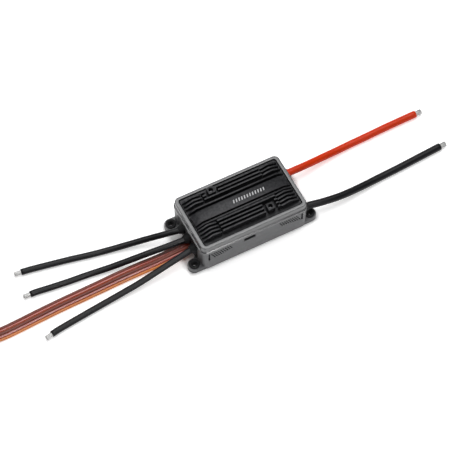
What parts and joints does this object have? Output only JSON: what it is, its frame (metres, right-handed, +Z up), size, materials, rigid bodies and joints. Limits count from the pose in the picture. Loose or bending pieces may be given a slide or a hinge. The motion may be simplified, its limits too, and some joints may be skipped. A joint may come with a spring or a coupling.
{
  "type": "electronic speed controller",
  "caption": "Brushless motor speed controller: finned heat sink in a plastic case with mounting ears, battery, motor and signal leads.",
  "frame": {"origin": "centre of the case's underside, where it stands on a surface", "axes": "+X along the case towards the battery leads, +Y towards the back face, +Z up through the heat sink"},
  "size_m": [0.2623, 0.0559, 0.0191],
  "materials": {
    "case_plastic": "fine spark-eroded texture, dark grey",
    "black_anodised": "black anodised, satin",
    "black_rubber": "matt black moulded rubber",
    "lead_black": "satin silicone insulation",
    "lead_red": "satin silicone insulation",
    "servo_lead": "glossy PVC insulation, brown, red and orange cores side by side",
    "tinned_copper": "solder-tinned copper strands",
    "board_laminate": "green solder mask on glass-epoxy laminate",
    "chip_epoxy": "black moulded epoxy",
    "capacitor_can": "bright drawn can",
    "ferrite": "dark grey sintered ferrite",
    "shunt_alloy": "matt copper-manganese alloy",
    "header_plastic": "black moulded nylon",
    "lamp_lens": "clear water-white lens",
    "thermal_pad": "soft grey-blue silicone pad",
    "screw_steel": "black zinc plated steel",
    "plug_plastic": "black moulded nylon",
    "tie_plastic": "black hook and loop band"
  },
  "bodies": {
    "root": {"bottom_case": "case_plastic", "top_bezel": "case_plastic", "heat_sink": "black_anodised", "thermal_pad": "thermal_pad", "power_board": "board_laminate", "control_board": "board_laminate", "mosfet_1": "chip_epoxy", "mosfet_2": "chip_epoxy", "mosfet_3": "chip_epoxy", "mosfet_4": "chip_epoxy", "mosfet_5": "chip_epoxy", "mosfet_6": "chip_epoxy", "gate_driver_1": "chip_epoxy", "gate_driver_2": "chip_epoxy", "gate_driver_3": "chip_epoxy", "microcontroller": "chip_epoxy", "bec_regulator": "chip_epoxy", "bec_inductor": "ferrite", "input_capacitor_1": "capacitor_can", "input_capacitor_2": "capacitor_can", "input_capacitor_3": "capacitor_can", "current_shunt": "shunt_alloy", "board_header_1": "header_plastic", "board_header_2": "header_plastic", "status_light": "lamp_lens", "case_screw_1": "screw_steel", "case_screw_2": "screw_steel", "ear_grommet_back_left": "black_rubber", "ear_grommet_front_left": "black_rubber", "ear_grommet_back_right": "black_rubber", "ear_grommet_front_right": "black_rubber", "output_lead_seal": "black_rubber", "input_lead_seal": "black_rubber", "motor_lead_1": "lead_black", "motor_lead_2": "lead_black", "motor_lead_3": "lead_black", "motor_lead_tip_1": "tinned_copper", "motor_lead_tip_2": "tinned_copper", "motor_lead_tip_3": "tinned_copper", "battery_lead_red": "lead_red", "battery_lead_black": "lead_black", "battery_lead_tip_red": "tinned_copper", "battery_lead_tip_black": "tinned_copper", "throttle_lead": "servo_lead", "bec_lead": "servo_lead", "signal_lead_coil": "servo_lead", "coil_tie": "tie_plastic", "throttle_plug": "plug_plastic", "bec_plug": "plug_plastic"}
  },
  "joints": []
}
